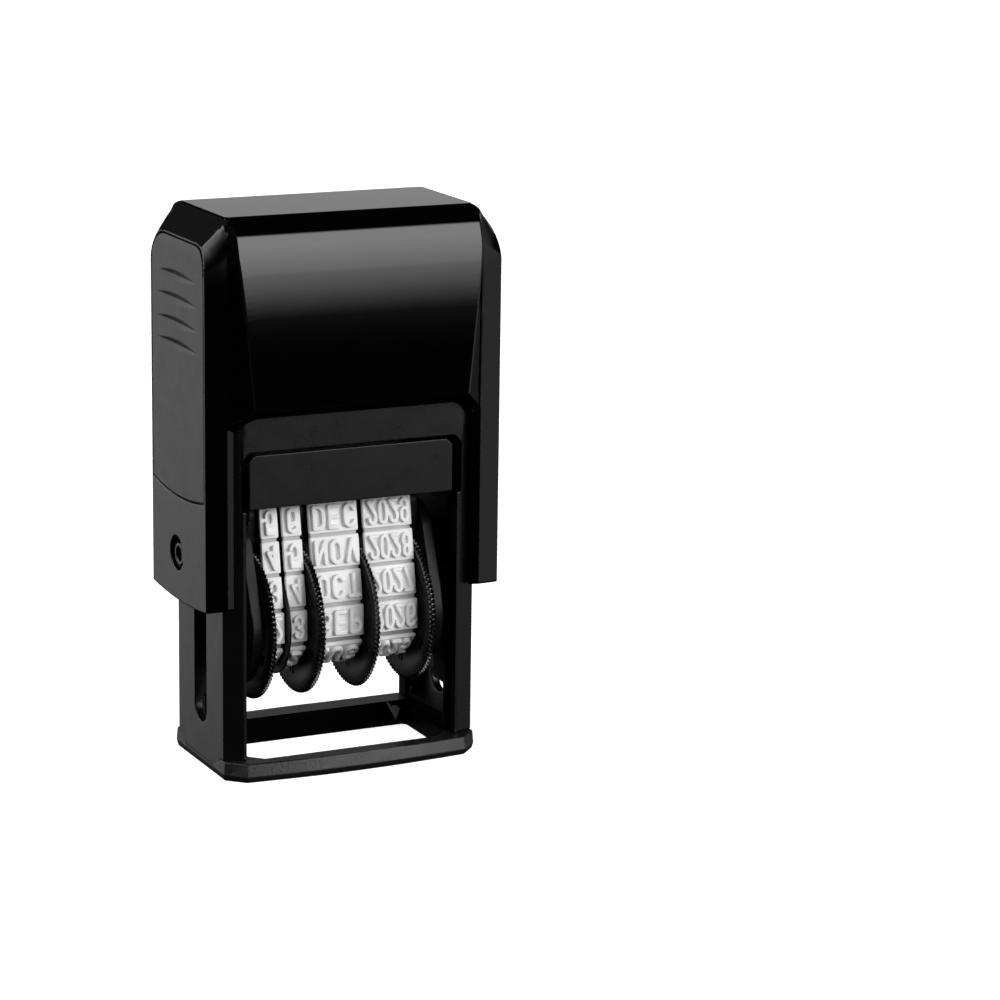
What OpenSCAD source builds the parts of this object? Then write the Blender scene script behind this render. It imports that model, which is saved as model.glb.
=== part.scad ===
// Self-inking band dater: press the cap and the print head turns over from the ink pad to the paper.
// Millimetres. +Z up, front is -Y, origin at the bottom centre of the foot.

/* [Overall] */
// Width across the cap sides
cap_width = 40.5; // [40.1:0.1:41.5]
// Height of the cap's flat top above the paper
cap_height = 72; // [71.6:0.1:74]
// Depth across the raised front and rear panels
cap_depth = 24; // [23.6:0.1:25]
// Depth of the cap's sides and legs
leg_depth = 19; // [18.8:0.1:19.2]
// Height of the leg ends above the paper
leg_end_z = 22.5; // [22.5:0.1:24]
// Width and height of the shoulder slopes
shoulder = 3.5; // [3:0.1:3.6]

/* [Motion] */
// Travel of the cap from rest to paper
stroke = 19.6; // [19.2:0.1:19.6]
// Height of the head's pivot at rest
pivot_z = 28; // [27.9:0.05:28.1]
// Height of the wheel axle at rest
axle_z = 18.2; // [18.0:0.1:18.4]

/* [Setting wheels] */
// Radius over the rim teeth
wheel_r = 10; // [9.4:0.1:10]
// Teeth on each rim
wheel_teeth = 92; // [60:1:100]
// Depth of the rim teeth
tooth_depth = 0.3; // [0.2:0.05:0.4]
// Radius of the fixed divider between the day bands
divider_r = 7.1; // [6.6:0.1:7.6]

/* [Type bands] */
// Types on each band
band_types = 12; // [12:1:12]
// Length of one type along the band
type_len = 3.9; // [3.4:0.1:4]
// Radius of the type plates on the drum
band_drum_r = 6; // [5.8:0.05:6.1]
// Radius of the type plates on the nose
band_nose_r = 3.5; // [3.3:0.05:3.6]
// Thickness of the rubber belt
belt_t = 0.5; // [0.4:0.05:0.6]
// Thickness of the type plates on the belt
plate_t = 0.45; // [0.4:0.05:0.5]
// Height of the characters on the plates
char_t = 0.4; // [0.3:0.05:0.4]

/* [Ink cassette] */
// Half width of the drawer without its runners
cassette_hw = 14; // [13.6:0.1:14.1]
// Lower edge of the drawer front
cassette_z0 = 35; // [35:0.05:35.2]
// Upper face of the drawer
cassette_z1 = 41.9; // [41.5:0.1:42]

/* [Return spring] */
// Radius of the coil's centre line
spring_r = 4.6; // [4.3:0.1:5]
// Wire diameter
wire_d = 0.9; // [0.7:0.1:0.9]
// Turns of wire
spring_turns = 6; // [5:1:6]

/* [Foot] */
// Height of the foot's rim
foot_h = 2.45; // [2.2:0.05:2.45]
// Height of the thicker rear bar
rear_bar_h = 3.45; // [2.6:0.05:3.6]

/* [Hidden] */
$fn = 64;
e = 0.01;
// cap
cw = cap_width / 2;
cd = cap_depth / 2;
ld = leg_depth / 2;
top_hw = cw - shoulder;
ceil_z = cap_height - 1.8;
cav_hw = 17.9;
win_hw = 16.4;
win_out = 17.36;
win_z = cap_height - 24.9;
panel_z = cap_height - 23.7;
crease_x = 14.62;
crease_k = 0.105;
flank_x = 17.75;
flank_k = 0.012;
grip_t = 1.25;
grip_gap = 0.22;
// frame
fw_in = 14.6;
fw_out = 17.4;
roof_z = 44;
frame_top = 49.5;
slot_r = 2.05;
bay_z0 = 34.9;
bay_z1 = 42.4;
guide_r = 4;
guide_pin_r = 0.9;
guide_gap = 0.1;
// head
cheek_in = 11.9;
cheek_out = 13.3;
axle_r = 1;
wheel_bore = 1.05;
tip_r = 0.85;
tip_bore = 0.9;
type_z = pivot_z + (pivot_z - stroke - 0.15);
nose_z = type_z - char_t - band_nose_r;
band_in_d = band_drum_r - belt_t - plate_t;
band_in_n = band_nose_r - belt_t - plate_t;
drum_r = band_in_d - 0.08;
span = nose_z - axle_z;
tilt = asin((band_drum_r - band_nose_r) / span);
// pad
pad_z = type_z + 0.15;

// ---------- helpers ----------
// sketch (y, z) pulled along X from x0 to x1
module along_x(x0, x1) {
    translate([x0, 0, 0]) rotate([90, 0, 90]) linear_extrude(x1 - x0) children();
}
// sketch (x, z) pulled along Y from y0 to y1
module along_y(y0, y1) {
    translate([0, y1, 0]) rotate([90, 0, 0]) linear_extrude(y1 - y0) children();
}
// everything beyond a plane through p with its normal at polar angle b and azimuth c
module beyond(p, b, c) {
    translate(p) rotate([0, b, c]) translate([-60, -60, 0]) cube([120, 120, 60]);
}
module both_sides() {
    children();
    mirror([1, 0, 0]) children();
}
module four_corners() {
    for (mx = [0, 1], my = [0, 1]) mirror([mx, 0, 0]) mirror([0, my, 0]) children();
}
// y mirrored copy of a point list, reversed so that the outline closes
function flip_y(pts) = [for (i = [len(pts) - 1:-1:0]) [-pts[i][0], pts[i][1]]];

// ---------- cap ----------
// panel section, from its lower edge up: shallow arc, brow arc, shoulder arc, then the round edge into the flat top
edge_r = 3.5;
shoulder_r = 16;
brow_r = 90;
a_lo = 1;
a_mid = 4.5;
a_hi = 21.5;
edge_c = [cd - 4.6835, cap_height - edge_r];
shoulder_c = edge_c + (edge_r - shoulder_r) * [cos(a_hi), sin(a_hi)];
brow_c = shoulder_c + (shoulder_r - brow_r) * [cos(a_mid), sin(a_mid)];
shallow_r = (brow_c[1] + brow_r * sin(a_lo) - panel_z) / sin(a_lo);
shallow_c = brow_c + (brow_r - shallow_r) * [cos(a_lo), sin(a_lo)];
function arc_pts(c, r, a0, a1, n) = [for (i = [0:n]) let (a = a0 + (a1 - a0) * i / n) [-c[0] - r * cos(a), c[1] + r * sin(a)]];
panel_pts = concat([[-ld + 0.5, panel_z - 2.53]], arc_pts(shallow_c, shallow_r, 0, a_lo, 5), arc_pts(brow_c, brow_r, a_lo + 0.5, a_mid, 6),
                   arc_pts(shoulder_c, shoulder_r, a_mid + 1.7, a_hi, 9), arc_pts(edge_c, edge_r, a_hi + 4, 90, 16));
// side section: upright, leaning in a little below the shoulder slope
side_lean = 3.2;
side_pts = concat([[cw, 15]], [for (i = [0:6]) let (t = side_lean * i / 6) [cw - t * t / 24, cap_height - shoulder - side_lean + t]]);
function leg_bottom(y) = leg_end_z - 0.6 * (1 - pow(y / ld, 2));
leg_arc = [for (i = [0:8]) let (a = 52 + 38 * i / 8) [edge_c[0] + (edge_r - 0.03) * cos(a), edge_c[1] + (edge_r - 0.03) * sin(a)]];
leg_pts = concat([for (i = [-12:12]) [ld * i / 12, leg_bottom(ld * i / 12)]], [[ld, leg_arc[0][1] - 0.2]], leg_arc, flip_y(leg_arc), [[-ld, leg_arc[0][1] - 0.2]]);
// round edge between a shoulder slope and a leg's front, narrow at the top and wider towards the side
function corner_r(z) = min(3.7, 0.8 + 0.8 * max(0, cap_height - z));
function corner_slice(z) = let (r = corner_r(z), q = sqrt(0.5), x = cw + cap_height - shoulder - z)
    [for (p = concat([for (i = [0:12]) let (a = 7.5 * i) [r * cos(a) - r, r * sin(a) - r]], [[-r, 4], [4, 4], [4, -r]])) [x + p[0] * q, ld + p[1], z + p[0] * q]];
module corner_round() {
    zs = [for (i = [0:24]) cap_height + 2 - 0.5 * i];
    m = len(corner_slice(0));
    n = len(zs);
    four_corners() polyhedron([for (z = zs) each corner_slice(z)],
        concat([[for (i = [0:m - 1]) i]], [[for (i = [m - 1:-1:0]) m * (n - 1) + i]],
               [for (k = [0:n - 2], i = [0:m - 1]) let (j = (i + 1) % m, b = m * k, t = m * (k + 1)) each [[b + i, t + i, t + j], [b + i, t + j, b + j]]]),
        convexity = 6);
}

module grip_outline(g) {
    n = 16;
    polygon(concat(
        [for (i = [-n:n]) [(8.75 + g) * i / n, cap_height - 35.4 - g - 0.93 * (1 - pow(i / n, 2))]],
        [for (a = [0:10:90]) [5.35 + g + 3.4 * cos(a), cap_height - 7.1 + g + 3.4 * sin(a)]],
        [for (a = [90:10:180]) [-5.35 - g + 3.4 * cos(a), cap_height - 7.1 + g + 3.4 * sin(a)]]));
}

// level slices of the panel block: the creases beside the panel are straight, the flanks run back to the legs
function panel_slice(p) = let (y = -p[0], z = p[1], h = z - panel_z,
                               xc = h < 0 ? crease_x + cd - y : min(crease_x + crease_k * h, top_hw - 0.12),
                               xf = flank_x - flank_k * max(0, h), yf = min(ld - 0.7, y - 0.2))
    [[xc, -y, z], [xf, -yf, z], [xf, yf, z], [xc, y, z], [-xc, y, z], [-xf, yf, z], [-xf, -yf, z], [-xc, -y, z]];
module panel_block() {
    n = len(panel_pts);
    polyhedron([for (p = panel_pts) each panel_slice(p)],
               concat([[for (i = [0:7]) i]], [[for (i = [7:-1:0]) 8 * (n - 1) + i]],
                      [for (k = [0:n - 2], i = [0:7]) let (j = (i + 1) % 8, b = 8 * k, t = 8 * (k + 1)) each [[b + i, t + i, t + j], [b + i, t + j, b + j]]]),
               convexity = 4);
}
module cap_outer() {
    intersection() {
        along_y(-20, 20) polygon(concat(side_pts, [[top_hw, cap_height], [-top_hw, cap_height]], flip_y(side_pts)));
        union() {
            difference() {
                along_x(-25, 25) polygon(leg_pts);
                corner_round();
                // the legs' fronts turn a little outwards
                four_corners() beyond([win_out, ld, 40], 90, 84);
            }
            panel_block();
        }
    }
}
module cap_cavity() {
    intersection() {
        translate([0, 0, 10]) linear_extrude(ceil_z - 10)
            polygon([[cav_hw, -7.86], [cav_hw, 7.86], [15.14, 9.07], [-15.14, 9.07],
                     [-cav_hw, 7.86], [-cav_hw, -7.86], [-15.14, -9.07], [15.14, -9.07]]);
        along_y(-20, 20) polygon([[-cav_hw, 10], [cav_hw, 10], [cav_hw, ceil_z - 2.9], [cav_hw - 2.9, ceil_z],
                                  [-cav_hw + 2.9, ceil_z], [-cav_hw, ceil_z - 2.9]]);
    }
    translate([-13.2, -10.1, frame_top + 1]) cube([26.4, 20.2, ceil_z - 2.2 - frame_top - 1]);
}
module cap_shell() {
    color([0.05, 0.05, 0.055])
    union() {
        difference() {
            cap_outer();
            cap_cavity();
            // window, front and rear
            along_y(-20, 20) polygon([[-win_hw, 10], [win_hw, 10], [win_hw, win_z - 1.8], [win_hw - 2.5, win_z],
                                      [-win_hw + 2.5, win_z], [-win_hw, win_z - 1.8]]);
            // bevel of the window's upright edges
            four_corners() translate([0, 0, 10]) linear_extrude(win_z - 1.3 - 10)
                polygon([[win_out, -ld - e], [win_hw - e, -ld - e], [win_hw - e, -ld + 0.45], [win_hw, -ld + 0.45], [win_out, -ld]]);
            both_sides() {
                // seat of the grip panel
                along_x(cw - grip_t - 0.05, cw + 1) grip_outline(grip_gap);
                // crescent round the pivot boss
                along_x(cw - 1, cw + 1) difference() {
                    translate([0.75, pivot_z]) circle(2.2);
                    translate([0, pivot_z]) circle(1.5);
                }
                // pivot bore
                translate([cav_hw - 1, 0, pivot_z]) rotate([0, 90, 0]) cylinder(r = tip_bore, h = 5);
            }
        }
        // spring centring post under the ceiling
        translate([0, 0, ceil_z - 2.5]) cylinder(r = 3.4, h = 2.6);
    }
}
module grip_body() {
    groove_z = [cap_height - 8.25, cap_height - 11.2, cap_height - 14.2, cap_height - 17];
    groove_l = [12.6, 14.2, 14.2, 13.9];
    difference() {
        intersection() {
            along_x(cw - grip_t, cw) grip_outline(0);
            along_y(-20, 20) polygon(concat(side_pts, [[0, cap_height - shoulder], [0, 15]]));
        }
        for (i = [0:3]) {
            d = 0.24;
            k = 0.36;
            r = pow(groove_l[i], 2) / (8 * d);
            translate([cw + r - d, 0, groove_z[i]]) rotate_extrude($fn = 720) polygon([[r - 3 * k, -3], [r, 0], [r - 3 * k, 3]]);
        }
    }
}
module right_grip_panel() { color([0.09, 0.09, 0.1]) grip_body(); }
module left_grip_panel() { color([0.09, 0.09, 0.1]) mirror([1, 0, 0]) grip_body(); }

// ---------- frame ----------
function guide_y(t) = guide_r * sin(t);
function guide_z(t) = pivot_z - stroke * t / 180 - guide_r * cos(t);
function guide_n(t) = let (dy = guide_r * cos(t), dz = -stroke / PI + guide_r * sin(t), l = norm([dy, dz])) [-dz / l, dy / l];
function guide_edge(t, w) = [guide_y(t) + w * guide_n(t)[0], guide_z(t) + w * guide_n(t)[1]];
module guide_track() {
    w = guide_pin_r + guide_gap;
    polygon(concat([for (t = [0:5:180]) guide_edge(t, w)], [for (t = [180:-5:0]) guide_edge(t, -w)]));
}
module slot_shape() {
    translate([0, 7.65]) circle(slot_r);
    translate([0, pivot_z + 0.15]) circle(slot_r);
    translate([-slot_r, 7.65]) square([2 * slot_r, pivot_z + 0.15 - 7.65]);
}
module frame_side_outline() {
    polygon([[-9, foot_h], [-6.9, foot_h], [-4.3, 1], [5, 1], [8, foot_h], [9, foot_h], [9, frame_top], [-9, frame_top]]);
}
module frame() {
    color([0.07, 0.07, 0.075])
    union() {
        difference() {
            union() {
                both_sides() intersection() {
                    linear_extrude(frame_top) polygon([[fw_in, -8.75], [15, -8.75], [fw_out, -7.7], [fw_out, 7.7], [15, 8.75], [fw_in, 8.75]]);
                    along_x(10, 20) frame_side_outline();
                    along_y(-20, 20) polygon([[10, 0], [20, 0], [fw_out + 0.5, frame_top - 2.8], [15, frame_top + 0.1], [10, frame_top + 0.1]]);
                }
                // ledges under the drawer's runners
                both_sides() translate([fw_in - 1, -7.5, bay_z0 - 1.5]) cube([1.2, 15, 1.5]);
                // upright ribs inside the walls
                both_sides() for (y = [-6.6, 5.9]) translate([fw_in - 0.4, y, foot_h]) cube([0.6, 0.7, bay_z0 - 1 - foot_h]);
                // roof and the rim round the spring well
                translate([-15, -8.75, bay_z1 - 1.5]) cube([30, 17.5, roof_z - bay_z1 + 1.5]);
                for (y = [-8.75, 7.25]) translate([-15, y, roof_z - e]) cube([30, 1.5, frame_top - roof_z + e]);
                translate([0, 0, roof_z - e]) cylinder(r = 3.4, h = 2.5);
            }
            // drawer bay, open front and rear
            along_y(-20, 20) polygon([[-15.2, bay_z0], [15.2, bay_z0], [15.2, bay_z1 - 1.1], [14.1, bay_z1], [-14.1, bay_z1], [-15.2, bay_z1 - 1.1]]);
            both_sides() {
                along_x(fw_in - 1, fw_out + 1) slot_shape();
                along_x(fw_in - 1, fw_in + 1) guide_track();
                // pockets behind the slots' lower ends
                along_x(fw_in - 1, fw_out - 1.1) polygon([[-5.2, 4.2], [5.2, 4.2], [5.6, 4.8], [5.6, 8.35], [-5.6, 8.35], [-5.6, 4.8]]);
            }
        }
        // locating pegs in the foot
        both_sides() for (y = [-7.6, 8]) translate([15.2, y, 1.2]) cylinder(r = 0.5, h = foot_h - 1.2 + 0.2, $fn = 24);
    }
}

// ---------- foot ----------
function foot_edge(x) = 10.85 + 0.75 * (1 - pow(x / 15.4, 2));
// outline of the foot, drawn in by g
function foot_ring(g) = concat(
    [for (i = [-14:14]) [(15.4 - g / 2) * i / 14, -foot_edge(15.4 * i / 14) + g]], [[17.53 - g / 3, -8.45 + g / 2], [17.53 - g / 3, 8.45 - g / 2]],
    [for (i = [14:-1:-14]) [(15.4 - g / 2) * i / 14, foot_edge(15.4 * i / 14) - g]], [[-17.53 + g / 3, 8.45 - g / 2], [-17.53 + g / 3, -8.45 + g / 2]]);
// sloped rim: narrow at the paper, widest at the lip, drawn in towards the top
module foot_body() {
    g = [0.45, 0, 0.3];
    z = [0, 0.8, foot_h];
    n = len(foot_ring(0));
    polyhedron(
        [for (k = [0:2]) for (p = foot_ring(g[k])) [p[0], p[1], z[k]]],
        concat([[for (i = [0:n - 1]) i]], [[for (i = [n - 1:-1:0]) 2 * n + i]],
            [for (k = [0, 1], i = [0:n - 1]) let (a = k * n + i, b = k * n + (i + 1) % n) [a, a + n, b + n]],
            [for (k = [0, 1], i = [0:n - 1]) let (a = k * n + i, b = k * n + (i + 1) % n) [a, b + n, b]]));
}
module foot() {
    color([0.08, 0.08, 0.085])
    union() {
        difference() {
            union() {
                foot_body();
                translate([-14.3, 4.95, foot_h - e]) cube([28.6, 3.2, rear_bar_h - foot_h + e]);
            }
            // print window
            translate([0, 0, -1]) linear_extrude(10) polygon([[-13.5, -7.4], [-12, -8.9], [12, -8.9], [13.5, -7.4],
                                                               [13.8, -7.1], [13.8, 4.35], [13.15, 4.95], [-13.15, 4.95], [-13.8, 4.35], [-13.8, -7.1]]);
            // stepped seat of the frame's walls
            both_sides() along_x(fw_in - 0.1, 20) polygon([[-6.9, foot_h], [-4.3, 1], [5, 1], [8, foot_h], [8, 10], [-6.9, 10]]);
            both_sides() for (y = [-7.6, 8]) translate([15.2, y, 1.1]) cylinder(r = 0.55, h = 5, $fn = 24);
        }
        // leaning facets at the ends of the rear bar
        both_sides() polyhedron(
            [[10.95, 4.98, 3.4], [13.05, 4.75, 2.5], [12.2, 4.42, 0.9], [12.2, 5.5, 2.2]],
            [[0, 1, 2], [0, 3, 1], [1, 3, 2], [2, 3, 0]]);
    }
}

// ---------- ink drawer ----------
module ink_cassette() {
    color([0.1, 0.1, 0.11])
    difference() {
        union() {
            along_y(-8.4, 8.4) polygon([[-cassette_hw, cassette_z0], [cassette_hw, cassette_z0], [cassette_hw, cassette_z1 - 0.7],
                                        [cassette_hw - 0.7, cassette_z1], [-cassette_hw + 0.7, cassette_z1], [-cassette_hw, cassette_z1 - 0.7]]);
            both_sides() translate([cassette_hw - 0.5, -5.5, cassette_z0]) cube([1.45, 13.1, 1.3]);
        }
        // pad well
        translate([-12.7, -6.6, cassette_z0 - 1]) cube([25.4, 13.2, pad_z + 3.4 - cassette_z0 + 1]);
        // rear rim is cut back so that the drawer clears the types
        translate([-12.7, 0, cassette_z0 - 1]) cube([25.4, 10, pad_z + 0.15 - cassette_z0 + 1]);
    }
}
module ink_pad() {
    color([0.1, 0.12, 0.35])
    translate([-12.6, -6.5, pad_z]) cube([25.2, 13, 3.35]);
}

// ---------- return spring ----------
spring_z0 = roof_z + wire_d / 2 + 0.05;
spring_z1 = ceil_z - wire_d / 2 - 0.05;
// height along the wire: flat end turns, even pitch between
function coil_z(u) = let (k = 0.8 / spring_turns, s = 0.9 * wire_d, l = spring_z1 - spring_z0)
    u < k ? spring_z0 + s * u / k : u > 1 - k ? spring_z1 - s * (1 - u) / k
    : spring_z0 + s + (l - 2 * s) * (u - k) / (1 - 2 * k);
module return_spring() {
    seg = 22;
    m = 8;
    rings = spring_turns * seg;
    pts = [for (i = [0:rings], j = [0:m - 1])
        let (u = i / rings, a = 360 * spring_turns * u, b = 360 * j / m, r = spring_r + wire_d / 2 * cos(b))
        [r * cos(a), r * sin(a), coil_z(u) + wire_d / 2 * sin(b)]];
    faces = concat([[for (j = [0:m - 1]) j]], [[for (j = [m - 1:-1:0]) rings * m + j]],
        [for (i = [0:rings - 1], j = [0:m - 1]) let (a = i * m + j, b = i * m + (j + 1) % m) [a, a + m, b + m]],
        [for (i = [0:rings - 1], j = [0:m - 1]) let (a = i * m + j, b = i * m + (j + 1) % m) [a, b + m, b]]);
    color([0.7, 0.71, 0.73]) polyhedron(pts, faces);
}

// ---------- print head ----------
cheek_r1 = 7.7;
cheek_r2 = 4.3;
cheek_tilt = asin((cheek_r1 - cheek_r2) / (pivot_z - axle_z));
module cheek() {
    c = cos(cheek_tilt);
    s = sin(cheek_tilt);
    difference() {
        union() {
            along_x(cheek_in, cheek_out) {
                translate([0, axle_z]) circle(cheek_r1);
                translate([0, pivot_z]) circle(cheek_r2);
                polygon([[cheek_r1 * c, axle_z + cheek_r1 * s], [cheek_r2 * c, pivot_z + cheek_r2 * s],
                         [-cheek_r2 * c, pivot_z + cheek_r2 * s], [-cheek_r1 * c, axle_z + cheek_r1 * s]]);
            }
            // pivot pin through the frame slot, its tip in the cap leg
            translate([cheek_out - e, 0, pivot_z]) rotate([0, 90, 0]) cylinder(r = slot_r - 0.1, h = 17.6 - cheek_out + e);
            translate([17.6 - e, 0, pivot_z]) rotate([0, 90, 0]) cylinder(r = tip_r, h = 2);
            // guide pin in the frame's track
            translate([cheek_out - e, 0, pivot_z - guide_r]) rotate([0, 90, 0]) cylinder(r = guide_pin_r, h = 15.4 - cheek_out, $fn = 32);
        }
        translate([cheek_in - 1, 0, axle_z]) rotate([0, 90, 0]) cylinder(r = axle_r + 0.02, h = 3);
        // mortise of the bridge
        translate([cheek_in - 1, -1.35, pivot_z + 1.15]) cube([2.1, 2.7, 2.3]);
    }
}
module right_cheek() { color([0.11, 0.11, 0.12]) cheek(); }
module left_cheek() { color([0.11, 0.11, 0.12]) mirror([1, 0, 0]) cheek(); }
module band_bridge() {
    nr = band_in_n - 0.1;
    color([0.12, 0.12, 0.13])
    union() {
        along_x(-cheek_in + 0.02, cheek_in - 0.02) {
            translate([0, nose_z]) circle(nr);
            translate([-nr, axle_z + wheel_r + 0.4]) square([2 * nr, nose_z - axle_z - wheel_r - 0.4]);
        }
        translate([-cheek_in - 1, -1.3, pivot_z + 1.2]) cube([2 * cheek_in + 2, 2.6, 2.2]);
        // cores inside the day bands, above the drums
        for (b = [[-10.5, -8.1], [-7.6, -4.98]])
            along_x(b[0], b[1]) translate([0.05 - nr, axle_z + drum_r + 0.5]) square([2 * nr - 0.1, wheel_r - drum_r + 1]);
    }
}
module wheel_axle() {
    color([0.72, 0.73, 0.75])
    translate([-cheek_out, 0, axle_z]) rotate([0, 90, 0]) cylinder(r = axle_r, h = 2 * cheek_out);
}
module day_divider() {
    color([0.1, 0.1, 0.11])
    translate([-8, 0, axle_z]) rotate([0, 90, 0]) difference() {
        cylinder(r = divider_r, h = 0.28);
        translate([0, 0, -1]) cylinder(r = axle_r + 0.02, h = 3);
    }
}

// ---------- setting wheels ----------
module wheel(d0, d1, w0, w1) {
    color([0.06, 0.06, 0.065])
    translate([0, 0, axle_z]) difference() {
        union() {
            along_x(d0, d1) polygon([for (i = [0:2 * wheel_teeth - 1]) let (r = i % 2 == 0 ? wheel_r : wheel_r - tooth_depth, a = 180 * i / wheel_teeth) [r * cos(a), r * sin(a)]]);
            translate([w0, 0, 0]) rotate([0, 90, 0]) cylinder(r = drum_r, h = w1 - w0);
        }
        translate([min(d0, w0) - 1, 0, 0]) rotate([0, 90, 0]) cylinder(r = wheel_bore, h = max(d1, w1) - min(d0, w0) + 2);
    }
}
module day_tens_wheel() { wheel(-11.5, -10.72, -11, -8.1); }
module day_units_wheel() { wheel(-4.88, -4, -7.65, -4.5); }
module month_wheel() { wheel(3, 3.55, -3.9, 3.3); }
module year_wheel() { wheel(10.6, 11.4, 3.65, 11); }

// ---------- type bands ----------
// loop: nose arc above, drum arc below, straight runs between
function loop_pts(rd, rn) = concat(
    [for (i = [0:20]) let (a = tilt + (180 - 2 * tilt) * i / 20) [rn * cos(a), nose_z + rn * sin(a)]],
    [for (i = [0:30]) let (a = 180 - tilt + (180 + 2 * tilt) * i / 30) [rd * cos(a), axle_z + rd * sin(a)]]);
pitch_d = band_in_d + belt_t / 2;
pitch_n = band_in_n + belt_t / 2;
run_len = span * cos(tilt);
nose_half = pitch_n * (90 - tilt) * PI / 180;
drum_half = pitch_d * (90 + tilt) * PI / 180;
loop_len = 2 * (run_len + nose_half + drum_half);
// place on the pitch line at distance s from the nose's top, towards the front: [y, z, normal angle]
function band_at(s) =
    s > loop_len / 2 ? let (p = band_at(loop_len - s)) [-p[0], p[1], 180 - p[2]]
    : s < nose_half ? let (a = 90 + s / pitch_n * 180 / PI) [pitch_n * cos(a), nose_z + pitch_n * sin(a), a]
    : s < nose_half + run_len ? let (t = s - nose_half, a = 180 - tilt)
        [pitch_n * cos(a) - t * sin(tilt), nose_z + pitch_n * sin(a) - t * cos(tilt), a]
    : let (a = 180 - tilt + (s - nose_half - run_len) / pitch_d * 180 / PI) [pitch_d * cos(a), axle_z + pitch_d * sin(a), a];
module band(x0, x1) {
    color([0.93, 0.92, 0.88])
    union() {
        along_x(x0, x1) {
            difference() {
                polygon(loop_pts(band_in_d + belt_t, band_in_n + belt_t));
                polygon(loop_pts(band_in_d, band_in_n));
            }
            for (i = [0:band_types - 1]) let (p = band_at(loop_len * i / band_types))
                translate([p[0], p[1]]) rotate(p[2]) translate([-0.1, -type_len / 2]) square([belt_t / 2 + plate_t + 0.1, type_len]);
        }
        // raised field that carries each type's characters
        along_x(x0 + 0.3, x1 - 0.3)
            for (i = [0:band_types - 1]) let (p = band_at(loop_len * i / band_types))
                translate([p[0], p[1]]) rotate(p[2]) translate([0, -type_len / 2 + 0.4]) square([belt_t / 2 + plate_t + char_t, type_len - 0.8]);
    }
}
module day_tens_band() { band(-10.6, -8.15); }
module day_units_band() { band(-7.6, -4.98); }
module month_band() { band(-3.9, 2.9); }
module year_band() { band(3.65, 10.5); }

frame();
foot();
ink_cassette();
ink_pad();
cap_shell();
left_grip_panel();
right_grip_panel();
return_spring();
left_cheek();
right_cheek();
band_bridge();
wheel_axle();
day_tens_wheel();
day_units_wheel();
month_wheel();
year_wheel();
day_tens_band();
day_units_band();
month_band();
year_band();
day_divider();
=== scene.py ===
import math

import bmesh
import bpy
import numpy as np
from mathutils import Matrix, Vector
from mathutils.kdtree import KDTree


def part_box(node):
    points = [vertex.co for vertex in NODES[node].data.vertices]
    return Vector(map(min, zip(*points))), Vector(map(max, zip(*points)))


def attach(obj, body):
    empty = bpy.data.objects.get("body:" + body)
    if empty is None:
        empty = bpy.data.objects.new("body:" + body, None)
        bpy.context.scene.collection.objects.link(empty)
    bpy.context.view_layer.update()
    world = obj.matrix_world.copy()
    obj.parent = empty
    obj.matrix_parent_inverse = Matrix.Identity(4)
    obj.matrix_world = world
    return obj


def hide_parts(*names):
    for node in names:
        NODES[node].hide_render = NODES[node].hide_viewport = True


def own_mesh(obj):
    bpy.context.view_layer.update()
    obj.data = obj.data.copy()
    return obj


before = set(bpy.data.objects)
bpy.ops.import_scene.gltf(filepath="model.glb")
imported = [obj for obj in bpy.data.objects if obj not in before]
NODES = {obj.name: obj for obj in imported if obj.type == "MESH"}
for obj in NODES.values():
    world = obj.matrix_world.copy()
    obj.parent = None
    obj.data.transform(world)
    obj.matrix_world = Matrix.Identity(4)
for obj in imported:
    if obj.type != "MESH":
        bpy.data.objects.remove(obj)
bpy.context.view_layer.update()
scene = bpy.context.scene
MM = 0.001


# ---------------------------------------------------------------- camera
def back_dir(azimuth, elevation):
    a, e = math.radians(azimuth), math.radians(elevation)
    return Vector((math.sin(a) * math.cos(e), -math.cos(a) * math.cos(e), math.sin(e)))


cam_data = bpy.data.cameras.new("photo_camera")
cam_data.sensor_fit = "AUTO"
cam_data.sensor_width = 36.0
cam_data.lens = 126.545
cam_data.clip_start = 0.02
cam_data.clip_end = 60.0
cam = bpy.data.objects.new("photo_camera", cam_data)
scene.collection.objects.link(cam)
eye = Vector((0, 0, 0.036)) + back_dir(-23.464019, 13.162683) * 0.453032
fwd = -back_dir(-26.383163, 13.481040)
right = fwd.cross(Vector((0, 0, 1))).normalized()
up = right.cross(fwd)
roll = math.radians(0.842359)
right, up = right * math.cos(roll) + up * math.sin(roll), up * math.cos(roll) - right * math.sin(roll)
cam.matrix_world = Matrix((
    (right.x, up.x, -fwd.x, eye.x),
    (right.y, up.y, -fwd.y, eye.y),
    (right.z, up.z, -fwd.z, eye.z),
    (0, 0, 0, 1)))
scene.camera = cam
scene.view_settings.view_transform = "Standard"
scene.view_settings.look = "None"


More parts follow.
